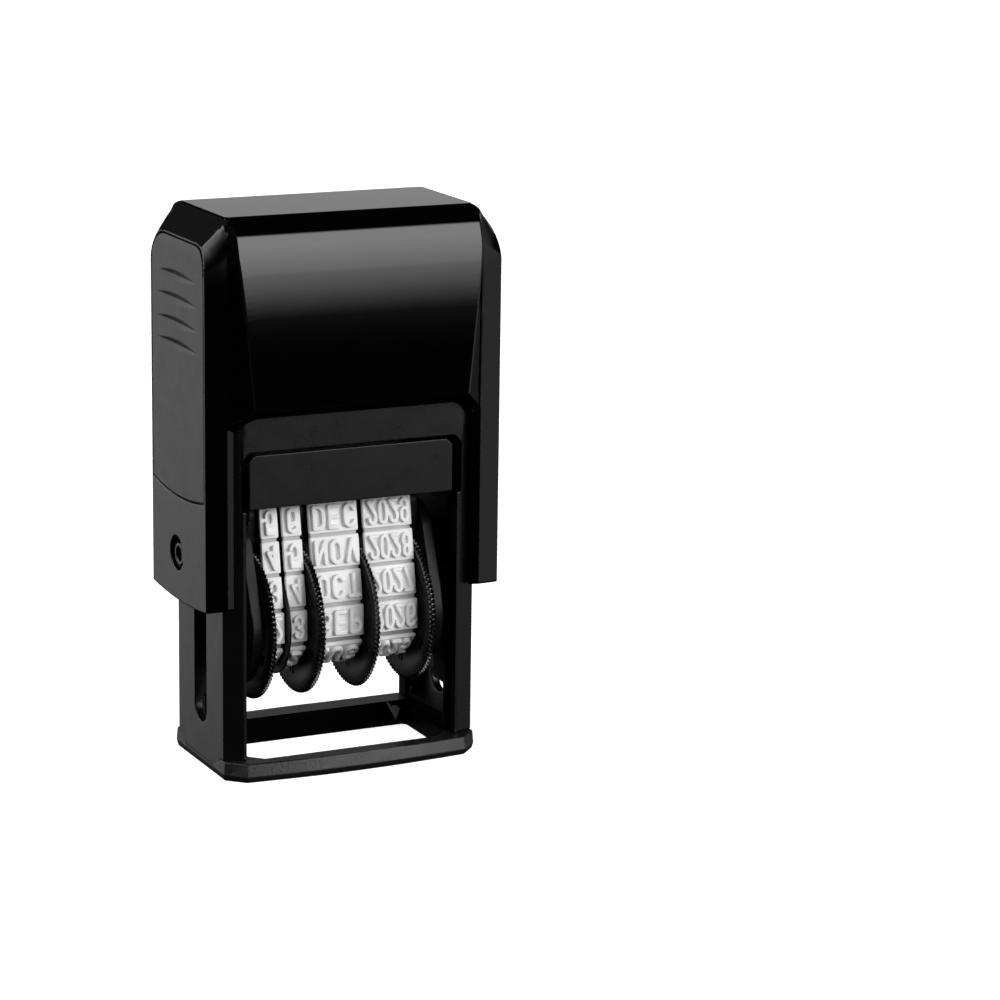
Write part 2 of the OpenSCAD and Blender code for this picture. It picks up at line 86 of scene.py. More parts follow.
# ---------------------------------------------------------------- node helper
class Graph:
    """Small helper that wires shader nodes."""

    def __init__(self, tree):
        self.t = tree
        self.x = -1800

    def node(self, kind, **values):
        n = self.t.nodes.new(kind)
        n.location = (self.x, 0)
        self.x += 40
        for k, v in values.items():
            setattr(n, k, v)
        return n

    def link(self, a, b):
        self.t.links.new(a, b)

    def put(self, socket, value):
        if isinstance(value, bpy.types.NodeSocket):
            self.link(value, socket)
        else:
            socket.default_value = value

    def math(self, op, a, b=None, c=None):
        n = self.node("ShaderNodeMath", operation=op)
        for i, v in enumerate((a, b, c)):
            if v is not None:
                self.put(n.inputs[i], v)
        return n.outputs[0]

    def ramp01(self, value, a, b, lo=0.0, hi=1.0, smooth=True):
        n = self.node("ShaderNodeMapRange", interpolation_type="SMOOTHSTEP" if smooth else "LINEAR")
        self.put(n.inputs["Value"], value)
        self.put(n.inputs["From Min"], a)
        self.put(n.inputs["From Max"], b)
        self.put(n.inputs["To Min"], lo)
        self.put(n.inputs["To Max"], hi)
        return n.outputs["Result"]

    def noise(self, vector, scale, detail=2.0, rough=0.5):
        n = self.node("ShaderNodeTexNoise")
        self.put(n.inputs["Vector"], vector)
        n.inputs["Scale"].default_value = scale
        n.inputs["Detail"].default_value = detail
        n.inputs["Roughness"].default_value = rough
        return n.outputs["Fac"]

    def mix_colour(self, fac, a, b):
        n = self.node("ShaderNodeMix", data_type="RGBA")
        self.put(n.inputs[0], fac)
        self.put(n.inputs[6], a)
        self.put(n.inputs[7], b)
        return n.outputs[2]


# ---------------------------------------------------------------- studio
world = bpy.data.worlds.new("studio")
scene.world = world
world.use_nodes = True
world.node_tree.nodes.clear()
g = Graph(world.node_tree)
coords = g.node("ShaderNodeTexCoord").outputs["Generated"]
sep = g.node("ShaderNodeSeparateXYZ")
g.link(coords, sep.inputs[0])
X, Y, Z = sep.outputs
DEG = 180 / math.pi
heading = g.math("MULTIPLY", g.math("ARCTAN2", X, g.math("MULTIPLY", Y, -1.0)), DEG)
height = g.math("MULTIPLY", g.math("ARCSINE", Z), DEG)
turn = g.math("ABSOLUTE", heading)


def window(v, a, b, soft_a, soft_b):
    """1 between a and b, falling off over the soft widths, which are centred on a and b."""
    lo = g.ramp01(v, a - soft_a / 2, a + soft_a / 2)
    hi = g.ramp01(v, b - soft_b / 2, b + soft_b / 2, 1.0, 0.0)
    return g.math("MULTIPLY", lo, hi)


def panel_light(az, h, level):
    return g.math("MULTIPLY", g.math("MULTIPLY", az, h), level)


parts = [
    # large softbox in front on the right: soft lower edge, crisp upper edge
    panel_light(window(heading, 16, 36, 10, 10), window(height, -4.3, 36, 11.0, 10), g.ramp01(height, -2, 22, 2.95, 4.85, False)),
    # high softbox on the left, brightest towards the back
    panel_light(window(heading, -164, -66, 8, 90), window(height, 28, 58, 5, 14), 2.7),
    # its dimmer lower part
    panel_light(window(heading, -136, -66, 10, 90), window(height, 10, 31, 16, 6), 1.15),
    # white wall behind, brightest at its middle
    panel_light(g.ramp01(turn, 115, 145), window(height, -19, 14.5, 7, 5), g.math("ADD", g.math("MULTIPLY", g.ramp01(height, -18, -10, 0.46, 0.64, False), g.ramp01(height, -4, 8, 1.0, 0.74)), g.math("MULTIPLY", window(height, 0, 7, 5, 4), 0.4))),
    # fill on the right, falling off towards the side
    panel_light(window(heading, 34, 128, 6, 20), window(height, -17.5, 6, 5, 14), g.ramp01(heading, 36, 118, 0.5, 0.11)),
    # narrow strip on the left
    panel_light(window(heading, -45, -34, 6, 5), window(height, -18, 0, 6, 8), 0.14),
]
total = parts[0]
for p in parts[1:]:
    total = g.math("ADD", total, p)
total = g.math("ADD", total, 0.004)
is_camera = g.node("ShaderNodeLightPath").outputs["Is Camera Ray"]
strength = g.math("ADD", g.math("MULTIPLY", total, g.math("SUBTRACT", 1.0, is_camera)), is_camera)
backdrop = g.node("ShaderNodeBackground")
backdrop.inputs["Color"].default_value = (1, 1, 1, 1)
g.link(strength, backdrop.inputs["Strength"])
out = g.node("ShaderNodeOutputWorld")
g.link(backdrop.outputs[0], out.inputs["Surface"])


def stage_floor():
    bm = bmesh.new()
    bmesh.ops.create_grid(bm, x_segments=2, y_segments=2, size=8.0)
    mesh = bpy.data.meshes.new("floor")
    bm.to_mesh(mesh)
    bm.free()
    floor = bpy.data.objects.new("floor", mesh)
    floor.location.z = -0.00005
    scene.collection.objects.link(floor)
    m = bpy.data.materials.new("floor_paper")
    m.use_nodes = True
    t = m.node_tree
    t.nodes.clear()
    gg = Graph(t)
    diffuse = gg.node("ShaderNodeBsdfDiffuse")
    diffuse.inputs["Color"].default_value = (0.8, 0.8, 0.8, 1)
    glow = gg.node("ShaderNodeEmission")
    glow.inputs["Strength"].default_value = 0.86
    add = gg.node("ShaderNodeAddShader")
    gg.link(diffuse.outputs[0], add.inputs[0])
    gg.link(glow.outputs[0], add.inputs[1])
    end = gg.node("ShaderNodeOutputMaterial")
    gg.link(add.outputs[0], end.inputs["Surface"])
    mesh.materials.append(m)
    floor.visible_glossy = False
    floor.visible_diffuse = False
    return floor


stage_floor()


def key_light(name, azimuth, elevation, size, watts):
    """Soft lamp that lights the pale parts; the glossy plastic reflects the studio only."""
    data = bpy.data.lights.new(name, "AREA")
    data.shape = "DISK"
    data.size = size
    data.energy = watts
    lamp = bpy.data.objects.new(name, data)
    scene.collection.objects.link(lamp)
    d = back_dir(azimuth, elevation)
    lamp.location = Vector((0, 0, 0.02)) + d * 1.4
    lamp.rotation_euler = d.to_track_quat("Z", "Y").to_euler()
    lamp.visible_glossy = False
    lamp.visible_camera = False
    return lamp


key_light("key_right", 42, 17, 0.3, 8.6)
key_light("key_front", 10, 20, 0.35, 4.4)
key_light("key_left", -38, 24, 0.6, 2.6)


# ---------------------------------------------------------------- materials
def material(name):
    m = bpy.data.materials.new(name)
    m.use_nodes = True
    t = m.node_tree
    t.nodes.clear()
    gg = Graph(t)
    bsdf = gg.node("ShaderNodeBsdfPrincipled")
    end = gg.node("ShaderNodeOutputMaterial")
    gg.link(bsdf.outputs[0], end.inputs["Surface"])
    where = gg.node("ShaderNodeTexCoord").outputs["Object"]
    return m, gg, bsdf, where


def moulded(name, dark, light, rough, spread, grain, grain_scale, wave=0.0, spec=0.5):
    """Moulded plastic: colour and gloss drift over the surface, fine grain from the mould."""
    m, gg, bsdf, where = material(name)
    cloud = gg.noise(where, 140.0, 3.0, 0.55)
    gg.put(bsdf.inputs["Base Color"], gg.mix_colour(cloud, dark + (1,), light + (1,)))
    fine = gg.noise(where, grain_scale, 2.0, 0.6)
    drift = gg.noise(where, 420.0, 2.0, 0.5)
    sum_ = gg.math("ADD", gg.math("MULTIPLY", fine, 0.5), gg.math("MULTIPLY", drift, 0.5))
    gg.put(bsdf.inputs["Roughness"], gg.ramp01(sum_, 0.3, 0.7, rough - spread, rough + spread, False))
    bsdf.inputs["Specular IOR Level"].default_value = spec
    bump = gg.node("ShaderNodeBump")
    bump.inputs["Strength"].default_value = 1.0
    bump.inputs["Distance"].default_value = grain
    gg.put(bump.inputs["Height"], fine)
    last = bump
    if wave:
        swell = gg.node("ShaderNodeBump")
        swell.inputs["Strength"].default_value = 1.0
        swell.inputs["Distance"].default_value = wave
        gg.put(swell.inputs["Height"], gg.noise(where, 260.0, 1.0, 0.4))
        gg.link(bump.outputs[0], swell.inputs["Normal"])
        last = swell
    gg.link(last.outputs[0], bsdf.inputs["Normal"])
    return m


def shoulder(name):
    """Black plastic of the cap's shoulders: satin on the slope and the corner, running out into the gloss below."""
    m, gg, bsdf, where = material(name)
    axes = gg.node("ShaderNodeSeparateXYZ")
    gg.link(where, axes.inputs[0])
    x, y = gg.math("ABSOLUTE", axes.outputs[0]), gg.math("ABSOLUTE", axes.outputs[1])
    corner = gg.ramp01(y, 8.0 * MM, 9.8 * MM)
    across = gg.math("MULTIPLY", corner, gg.ramp01(x, 16.9 * MM, 18.0 * MM, 0.0, 0.205))
    slope = gg.math("MULTIPLY", gg.math("SUBTRACT", 1.0, corner), 0.108)
    level = gg.math("MULTIPLY", gg.math("ADD", across, slope), gg.ramp01(axes.outputs[2], 62.0 * MM, 67.5 * MM))
    fine = gg.noise(where, 4200.0, 2.0, 0.6)
    gg.put(bsdf.inputs["Roughness"], gg.math("ADD", gg.math("ADD", level, 0.04), gg.math("MULTIPLY", fine, 0.03)))
    cloud = gg.noise(where, 140.0, 3.0, 0.55)
    gg.put(bsdf.inputs["Base Color"], gg.mix_colour(cloud, (0.0005, 0.0005, 0.0006, 1), (0.001, 0.001, 0.0011, 1)))
    bump = gg.node("ShaderNodeBump")
    bump.inputs["Strength"].default_value = 1.0
    bump.inputs["Distance"].default_value = 0.0000006
    gg.put(bump.inputs["Height"], fine)
    gg.link(bump.outputs[0], bsdf.inputs["Normal"])
    return m


def rubber(name, shade=1.0):
    """White vulcanised rubber: matt, with faint grey handling marks."""
    m, gg, bsdf, where = material(name)
    cloud = gg.noise(where, 300.0, 4.0, 0.6)
    speck = gg.noise(where, 2600.0, 2.0, 0.7)
    tone = gg.mix_colour(gg.ramp01(cloud, 0.35, 0.75), (0.86 * shade, 0.86 * shade, 0.855 * shade, 1), (0.78 * shade, 0.78 * shade, 0.78 * shade, 1))
    tone = gg.mix_colour(gg.ramp01(speck, 0.62, 0.8, 0.0, 0.35), tone, (0.6 * shade, 0.6 * shade, 0.6 * shade, 1))
    gg.put(bsdf.inputs["Base Color"], tone)
    gg.put(bsdf.inputs["Roughness"], gg.ramp01(cloud, 0.3, 0.7, 0.42, 0.58, False))
    bsdf.inputs["Specular IOR Level"].default_value = 0.4
    bump = gg.node("ShaderNodeBump")
    bump.inputs["Strength"].default_value = 1.0
    bump.inputs["Distance"].default_value = 0.00002
    gg.put(bump.inputs["Height"], speck)
    gg.link(bump.outputs[0], bsdf.inputs["Normal"])
    return m


def felt(name):
    """Ink-soaked felt: dark blue, fibrous, with darker wet patches."""
    m, gg, bsdf, where = material(name)
    stretch = gg.node("ShaderNodeMapping")
    stretch.inputs["Scale"].default_value = (1.0, 3.2, 1.0)
    gg.link(where, stretch.inputs["Vector"])
    fibre = gg.noise(stretch.outputs[0], 1500.0, 5.0, 0.7)
    patch = gg.noise(where, 190.0, 3.0, 0.5)
    tone = gg.mix_colour(gg.ramp01(patch, 0.35, 0.7), (0.012, 0.016, 0.085, 1), (0.03, 0.04, 0.17, 1))
    gg.put(bsdf.inputs["Base Color"], gg.mix_colour(gg.ramp01(fibre, 0.45, 0.75, 0.0, 0.6), tone, (0.07, 0.09, 0.26, 1)))
    gg.put(bsdf.inputs["Roughness"], gg.ramp01(patch, 0.3, 0.7, 0.55, 0.9, False))
    bsdf.inputs["Sheen Weight"].default_value = 0.25
    bump = gg.node("ShaderNodeBump")
    bump.inputs["Strength"].default_value = 1.0
    bump.inputs["Distance"].default_value = 0.00012
    gg.put(bump.inputs["Height"], fibre)
    gg.link(bump.outputs[0], bsdf.inputs["Normal"])
    return m


def steel(name, rough, axis_scale):
    """Drawn steel: fine lines along the drawing direction."""
    m, gg, bsdf, where = material(name)
    stretch = gg.node("ShaderNodeMapping")
    stretch.inputs["Scale"].default_value = axis_scale
    gg.link(where, stretch.inputs["Vector"])
    line = gg.noise(stretch.outputs[0], 2400.0, 3.0, 0.6)
    gg.put(bsdf.inputs["Base Color"], gg.mix_colour(line, (0.52, 0.53, 0.55, 1), (0.66, 0.67, 0.68, 1)))
    gg.put(bsdf.inputs["Roughness"], gg.ramp01(line, 0.3, 0.7, rough - 0.06, rough + 0.08, False))
    bsdf.inputs["Metallic"].default_value = 1.0
    bump = gg.node("ShaderNodeBump")
    bump.inputs["Strength"].default_value = 1.0
    bump.inputs["Distance"].default_value = 0.000006
    gg.put(bump.inputs["Height"], line)
    gg.link(bump.outputs[0], bsdf.inputs["Normal"])
    return m


GLOSS = moulded("cap_gloss_black", (0.0004, 0.0004, 0.0005), (0.0009, 0.0009, 0.001), 0.055, 0.015, 0.0000003, 5200.0, 0.000001)
SIDE = moulded("cap_side_black", (0.004, 0.004, 0.0045), (0.007, 0.007, 0.0075), 0.26, 0.04, 0.000004, 5200.0)
SHOULDER = shoulder("cap_shoulder_black")
# near-black with its reflection almost gone, for inner faces: real black plastic, darkened further as painted shade
INSIDE_SHADE = moulded("inside_black_painted_shade", (0.0004, 0.0004, 0.0005), (0.0009, 0.0009, 0.001), 0.55, 0.08, 0.000008, 4200.0, spec=0.03)
# a light grey for one facet of the foot's rear gusset: painted light
PAINTED_LIGHT_FACET = moulded("foot_facet_painted_light", (0.08, 0.08, 0.081), (0.11, 0.11, 0.111), 0.5, 0.06, 0.000008, 4200.0)
GRIP = moulded("grip_satin_black", (0.005, 0.005, 0.0055), (0.009, 0.009, 0.0095), 0.30, 0.05, 0.000008, 5200.0)
FRAME = moulded("frame_satin_black", (0.0012, 0.0012, 0.0014), (0.0024, 0.0024, 0.0026), 0.30, 0.05, 0.000007, 4600.0, spec=0.56)
FOOT = moulded("foot_satin_black", (0.006, 0.006, 0.0065), (0.012, 0.012, 0.0125), 0.36, 0.06, 0.00003, 2500.0, spec=0.6)
DRAWER = moulded("cassette_satin_black", (0.0012, 0.0012, 0.0014), (0.0024, 0.0024, 0.0026), 0.31, 0.05, 0.000007, 4600.0, spec=0.58)
HEAD = moulded("head_satin_black", (0.003, 0.003, 0.0035), (0.006, 0.006, 0.0065), 0.36, 0.05, 0.000006, 4600.0, spec=0.22)
WHEEL = moulded("wheel_black", (0.0025, 0.0025, 0.003), (0.005, 0.005, 0.0055), 0.42, 0.06, 0.000005, 5200.0, spec=0.08)
TEETH_GLOSS = moulded("wheel_rim_black", (0.002, 0.002, 0.0025), (0.004, 0.004, 0.0045), 0.11, 0.03, 0.000001, 5200.0, spec=1.0)
# a high-specular black for a thin strip along the panel creases: a painted glint line
CREASE = moulded("cap_crease_painted_glint", (0.0006, 0.0006, 0.0007), (0.0011, 0.0011, 0.0012), 0.2, 0.03, 0.000001, 4200.0, spec=1.0)
# a lighter grey for a strip round the grip recesses: a painted highlight line along the rim
PAINTED_LIP_HIGHLIGHT = moulded("cap_lip_painted_highlight", (0.07, 0.07, 0.071), (0.1, 0.1, 0.101), 0.4, 0.06, 0.000004, 4200.0)
# a lighter, more reflective black for the cheeks' outer faces: a painted sheen
CHEEK_SIDE_SHEEN = moulded("head_cheek_painted_sheen", (0.006, 0.006, 0.0065), (0.011, 0.011, 0.0115), 0.30, 0.05, 0.000006, 4600.0, spec=1.0)
RUBBER = rubber("band_white_rubber")
BELT = rubber("band_belt_rubber", 0.5)
# the plates are a little darker than the raised characters: painted shade of the relief
PLATE = rubber("band_plate_rubber", 0.95)
FELT = felt("ink_felt")
AXLE = steel("axle_steel_drawn", 0.24, (0.05, 1.0, 1.0))
SPRING = steel("spring_steel_wire", 0.22, (1.0, 1.0, 1.0))


# ---------------------------------------------------------------- mesh helpers
def finish_mesh(bm, name, mats, body, replaced=(), sharp=32.0):
    bmesh.ops.recalc_face_normals(bm, faces=bm.faces)
    mesh = bpy.data.meshes.new(name)
    bm.to_mesh(mesh)
    bm.free()
    for m in mats:
        mesh.materials.append(m)
    for p in mesh.polygons:
        p.use_smooth = True
    mesh.set_sharp_from_angle(angle=math.radians(sharp))
    obj = bpy.data.objects.new(name, mesh)
    scene.collection.objects.link(obj)
    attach(obj, body)
    if replaced:
        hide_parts(*replaced)
    return obj


def softened(node, name, radius, mats, body, angle=24.0, weld=0.004 * MM, pick=None, paint=None, shape=None, melt=()):
    """A copy of a CAD node whose outer edges are rounded as a mould rounds them: the mesh is refined towards those edges and relaxed there."""
    bm = bmesh.new()
    bm.from_mesh(NODES[node].data)
    bmesh.ops.remove_doubles(bm, verts=bm.verts, dist=weld)
    bmesh.ops.dissolve_degenerate(bm, dist=weld * 0.5, edges=bm.edges)
    bmesh.ops.triangulate(bm, faces=bm.faces)
    bmesh.ops.recalc_face_normals(bm, faces=bm.faces)
    limit = math.radians(angle)
    size = radius * 0.6
    near = []
    held = []
    for e in bm.edges:
        if len(e.link_faces) != 2 or e.calc_face_angle(0.0) < limit:
            continue
        a, b = e.verts[0].co.copy(), e.verts[1].co.copy()
        into = near if e.is_convex and (pick is None or pick((a + b) / 2, e)) else held
        n = max(1, int(math.ceil((b - a).length / size)))
        into.extend(a.lerp(b, i / n) for i in range(n + 1))
    tree = KDTree(len(near))
    for i, p in enumerate(near):
        tree.insert(p, i)
    tree.balance()
    fixed = KDTree(len(held) + 1)
    for i, p in enumerate(held + [Vector((9, 9, 9))]):
        fixed.insert(p, i)
    fixed.balance()
    for _ in range(10):
        todo = []
        for e in bm.edges:
            length = e.calc_length()
            if length < 1.4 * size:
                continue
            d = tree.find((e.verts[0].co + e.verts[1].co) / 2)[2]
            if length > 1.4 * max(size, 0.95 * d - 0.8 * radius):
                todo.append(e)
        if not todo:
            break
        bmesh.ops.subdivide_edges(bm, edges=todo, cuts=1, use_grid_fill=False)
        bmesh.ops.triangulate(bm, faces=[f for f in bm.faces if len(f.verts) > 3])
    bm.verts.index_update()
    co = np.array([v.co for v in bm.verts])
    ends = np.array([(e.verts[0].index, e.verts[1].index) for e in bm.edges])
    reach = np.array([tree.find(v.co)[2] for v in bm.verts])
    stay = np.array([fixed.find(v.co)[2] < 1e-6 for v in bm.verts])
    give = np.clip(3.0 - reach / radius, 0.0, 1.0)
    give[stay] = 0.0
    pull = 1.0 / np.maximum(np.linalg.norm(co[ends[:, 0]] - co[ends[:, 1]], axis=1), 1e-7)
    total_pull = np.zeros(len(co))
    np.add.at(total_pull, ends[:, 0], pull)
    np.add.at(total_pull, ends[:, 1], pull)

    def relax(part, rounds):
        for _ in range(rounds):
            mean = np.zeros_like(co)
            np.add.at(mean, ends[:, 0], co[ends[:, 1]] * pull[:, None])
            np.add.at(mean, ends[:, 1], co[ends[:, 0]] * pull[:, None])
            mean /= total_pull[:, None]
            co[:] += 0.5 * part[:, None] * (mean - co)

    relax(give, 3)
    soft = np.zeros(len(co))
    for point, around in melt:
        soft = np.maximum(soft, np.clip(1.6 * (1.0 - np.linalg.norm(co - np.array(point) * MM, axis=1) / (around * MM)), 0.0, 1.0))
    if melt:
        relax(soft, 22)
    for v, p in zip(bm.verts, co):
        v.co = shape(Vector(p)) if shape else p
    bm.normal_update()
    for e in bm.edges:
        bend = e.calc_face_angle(0.0)
        e.smooth = not (bend > math.radians(52) or (bend > math.radians(22) and not e.is_convex))
    for f in bm.faces:
        f.smooth = True
        if paint:
            f.material_index = paint(f.calc_center_median() / MM, f.normal)
    if paint:
        # at the rear a lone face takes the finish of the faces round it
        for f in bm.faces:
            if f.calc_center_median().y > 6.0 * MM:
                near = [g.material_index for e in f.edges for g in e.link_faces if g is not f]
                if 2 * near.count(f.material_index) < len(near):
                    f.material_index = max(sorted(set(near)), key=near.count)
    mesh = bpy.data.meshes.new(name)
    bm.to_mesh(mesh)
    bm.free()
    for m in mats:
        mesh.materials.append(m)
    obj = bpy.data.objects.new(name, mesh)
    scene.collection.objects.link(obj)
    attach(obj, body)
    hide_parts(node)
    return obj


# ---------------------------------------------------------------- cap
def cap_edge(p, e):
    """Only edges on the outside of the cap, the window and the recesses."""
    x, y, z = (abs(p.x) / MM, abs(p.y) / MM, p.z / MM)
    return x > 18.6 or y > 9.2 or z > 71 or z < 22.6 or (x > 16.3 and y > 8.9)


def rim_of(names, limit=50.0):
    """Points along the sharp outer rim of some nodes, in mm."""
    points = []
    for name in names:
        bm = bmesh.new()
        bm.from_mesh(NODES[name].data)
        bmesh.ops.remove_doubles(bm, verts=bm.verts, dist=0.01 * MM)
        for e in bm.edges:
            if len(e.link_faces) == 2 and e.is_convex and e.calc_face_angle(0.0) > math.radians(limit):
                a, b = e.verts[0].co / MM, e.verts[1].co / MM
                if min(abs(a.x), abs(b.x)) < 19.0:
                    continue
                n = max(1, int((b - a).length / 0.08))
                points.extend(a.lerp(b, i / n) for i in range(n + 1))
        bm.free()
    tree = KDTree(len(points))
    for i, q in enumerate(points):
        tree.insert(q, i)
    tree.balance()
    return tree


grip_rim = rim_of(("left_grip_panel", "right_grip_panel"))


def cap_paint(c, n):
    # a thin strip of the shell round the grip recess takes the lighter grey: a painted highlight
    if abs(c.x) > 18.6 and n.x * c.x > 0.2 * abs(c.x) and grip_rim.find(c)[2] < 0.4:
        return 4
    if abs(n.x) > 0.9 and abs(c.x) > 18.9 and c.z < 68.6:
        return 1
    # inner faces of the shell take the dark inner material: painted shade
    inner = abs(c.x) < 17.95 and abs(c.y) < 10.2 and c.z < 70.3
    if inner and (abs(c.y) < 8.6 or (c.z < 62.0 and n.y * c.y < 0) or n.x * c.x < -0.5 * abs(c.x) or n.z < -0.5):
        return 2
    # the crease ridge at the front-left top corner takes the dark inner material to hide its highlight: painted shade
    if c.z > 66.0 and c.x < 0 and c.y < 0 and abs(abs(c.x) - 16.9) < (0.3 if c.z < 70.4 else 0.55) and abs(c.y) > 7.2 and c.z < 71.78:
        return 2
    # a narrow strip along each panel crease takes the high-specular black: a painted glint
    if abs(c.y) > 9.0 and c.z > 48.7 and abs(abs(c.x) - min(14.62 + 0.105 * (c.z - 48.3), 16.88)) < 0.13:
        return 5
    return 3 if abs(c.x) > 16.9 and c.z > 61.8 else 0


def panel_curve(mesh):
    """True normals of the curved front and rear panels, so that the gloss runs without facets."""
    cap_h, half = 72.0, 12.0

    def ray(a):
        return np.array([math.cos(math.radians(a)), math.sin(math.radians(a))])

    edge = (np.array([half - 4.6835, cap_h - 3.5]), 3.5)
    shoulder = (edge[0] + (3.5 - 16.0) * ray(21.5), 16.0)
    brow = (shoulder[0] + (16.0 - 90.0) * ray(4.5), 90.0)
    foot_z = cap_h - 23.7
    long_r = (brow[0][1] + 90.0 * math.sin(math.radians(1)) - foot_z) / math.sin(math.radians(1))
    shallow = (brow[0] + (90.0 - long_r) * ray(1), long_r)
    tops = [(shallow, 1), (brow, 4.5), (shoulder, 21.5), (edge, 90)]
    n = len(mesh.loops)
    normal = np.empty(n * 3, np.float32)
    mesh.corner_normals.foreach_get("vector", normal)
    normal = normal.reshape(-1, 3).astype(float)
    index = np.empty(n, np.int32)
    mesh.loops.foreach_get("vertex_index", index)
    co = np.empty(len(mesh.vertices) * 3, np.float32)
    mesh.vertices.foreach_get("co", co)
    p = co.reshape(-1, 3).astype(float)[index] / MM
    y, z, x = np.abs(p[:, 1]), p[:, 2], np.abs(p[:, 0])
    side = np.sign(p[:, 1])
    lower = foot_z
    inset = np.clip((np.minimum(14.62 + 0.105 * (z - foot_z), 16.88) - x - 0.35) / 0.9, 0, 1) * np.clip((z - foot_z - 0.35) / 0.9, 0, 1)
    for (centre, r), a in tops:
        upper = (centre + r * ray(a))[1]
        d = np.stack([np.maximum(y - centre[0], 0.0), z - centre[1]], 1)
        dist = np.linalg.norm(d, axis=1)
        on = (z >= lower) & (z < upper + (1e-4 if a == 90 else 0)) & (np.abs(dist - r) < 0.05) & (inset > 0) & (normal[:, 1] * side > -0.1)
        true = np.stack([np.zeros(n), side * d[:, 0] / dist, d[:, 1] / dist], 1)
        w = inset[on, None]
        normal[on] = normal[on] * (1 - w) + true[on] * w
        lower = upper
    normal /= np.maximum(np.linalg.norm(normal, axis=1), 1e-9)[:, None]
    mesh.normals_split_custom_set(normal.tolist())


cap = softened("cap_shell", "cap_body", 0.22 * MM, [GLOSS, SIDE, INSIDE_SHADE, SHOULDER, PAINTED_LIP_HIGHLIGHT, CREASE], "cap", weld=0.02 * MM, pick=cap_edge, paint=cap_paint,
               melt=[((sx * 17.3, sy * 8.5, 70.7), 2.0) for sx in (-1, 1) for sy in (-1, 1)])
panel_curve(cap.data)
for side in ("left", "right"):
    softened(f"{side}_grip_panel", f"{side}_grip", 0.14 * MM, [GRIP], "cap", angle=13.0, weld=0.01 * MM, pick=lambda p, e: abs(p.x) > 19.3 * MM)

# ---------------------------------------------------------------- base and drawer
def frame_paint(c, n):
    # inner faces of the frame take the dark inner material: painted shade
    inward = n.x * c.x < -0.3 * abs(c.x)
    return 1 if abs(c.x) < 14.58 and c.z < 42 or (inward and abs(c.x) < 15.3) else 0


def foot_paint(c, n):
    x = abs(c.x)
    # one facet of the rear gusset takes the light grey: painted light
    if 10.6 < x < 13.2 and 4.3 < c.y < 5.05 and 0.85 < c.z < 3.42 and n.y < -0.9 and 0.15 < n.z < 0.27:
        return 2
    # faces inside the foot's window take the dark inner material: painted shade
    hole = x < 13.95 and -7.6 < c.y < 5.2
    if hole and (n.y * (c.y + 1.0) < -0.2 * abs(c.y + 1.0) or abs(n.x) > 0.4):
        return 1
    return 1 if x < 14.65 and -7.0 < c.y < 4.9 and n.z > 0.5 else 0


def foot_draft(p):
    """The front of the foot leans back a little towards its upper edge."""
    return Vector((p.x, p.y + 0.07 * max(0.0, p.z - 0.4 * MM), p.z)) if p.y < -9.0 * MM else p


softened("frame", "frame_body", 0.2 * MM, [FRAME, INSIDE_SHADE], "base", weld=0.01 * MM, paint=frame_paint,
         pick=lambda p, e: not (abs(p.x) < 13.5 * MM and p.z > 43 * MM and abs(p.y) < 8 * MM) and p.z > 2 * MM)
softened("foot", "foot_rim", 0.2 * MM, [FOOT, INSIDE_SHADE, PAINTED_LIGHT_FACET], "base", weld=0.01 * MM, paint=foot_paint, shape=foot_draft,
         pick=lambda p, e: not (10.5 < abs(p.x) / MM < 13.4 and 4.2 < p.y / MM < 5.6 and p.z < 3.42 * MM))
softened("ink_cassette", "cassette_body", 0.2 * MM, [DRAWER], "drawer", weld=0.01 * MM)


def ink_pad():
    """Felt block with rounded edges and a slightly crowned, uneven face."""
    lo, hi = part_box("ink_pad")
    nx, ny, nz = 64, 34, 8
    rng = np.random.RandomState(7)
    bumps = rng.rand(nx + 1, ny + 1)
    for _ in range(2):
        bumps = (bumps + np.roll(bumps, 1, 0) + np.roll(bumps, -1, 0) + np.roll(bumps, 1, 1) + np.roll(bumps, -1, 1)) / 5
    bm = bmesh.new()
    r = 0.35 * MM
    grid = {}

    def place(i, j, k):
        key = (i, j, k)
        if key in grid:
            return grid[key]
        u, v, w = i / nx, j / ny, k / nz
        p = np.array([lo.x + (hi.x - lo.x) * u, lo.y + (hi.y - lo.y) * v, lo.z + (hi.z - lo.z) * w])
        inner_lo, inner_hi = np.array(lo) + r, np.array(hi) - r
        core = np.minimum(np.maximum(p, inner_lo), inner_hi)
        d = p - core
        n = np.linalg.norm(d)
        if n > 1e-9:
            p = core + d / n * r
        if k == 0:
            edge = min(u, 1 - u, v, 1 - v)
            p[2] += 0.10 * MM * (bumps[i, j] - 0.5) * min(1.0, edge * 12) + 0.03 * MM
        grid[key] = bm.verts.new(p)
        return grid[key]

    def quad(a, b, c, d):
        bm.faces.new((place(*a), place(*b), place(*c), place(*d)))

    for i in range(nx):
        for j in range(ny):
            quad((i, j, 0), (i, j + 1, 0), (i + 1, j + 1, 0), (i + 1, j, 0))
            quad((i, j, nz), (i + 1, j, nz), (i + 1, j + 1, nz), (i, j + 1, nz))
    for i in range(nx):
        for k in range(nz):
            quad((i, 0, k), (i + 1, 0, k), (i + 1, 0, k + 1), (i, 0, k + 1))
            quad((i, ny, k), (i, ny, k + 1), (i + 1, ny, k + 1), (i + 1, ny, k))
    for j in range(ny):
        for k in range(nz):
            quad((0, j, k), (0, j, k + 1), (0, j + 1, k + 1), (0, j + 1, k))
            quad((nx, j, k), (nx, j + 1, k), (nx, j + 1, k + 1), (nx, j, k + 1))
    pad = finish_mesh(bm, "ink_felt_pad", [FELT], "drawer", ("ink_pad",), 60.0)


ink_pad()


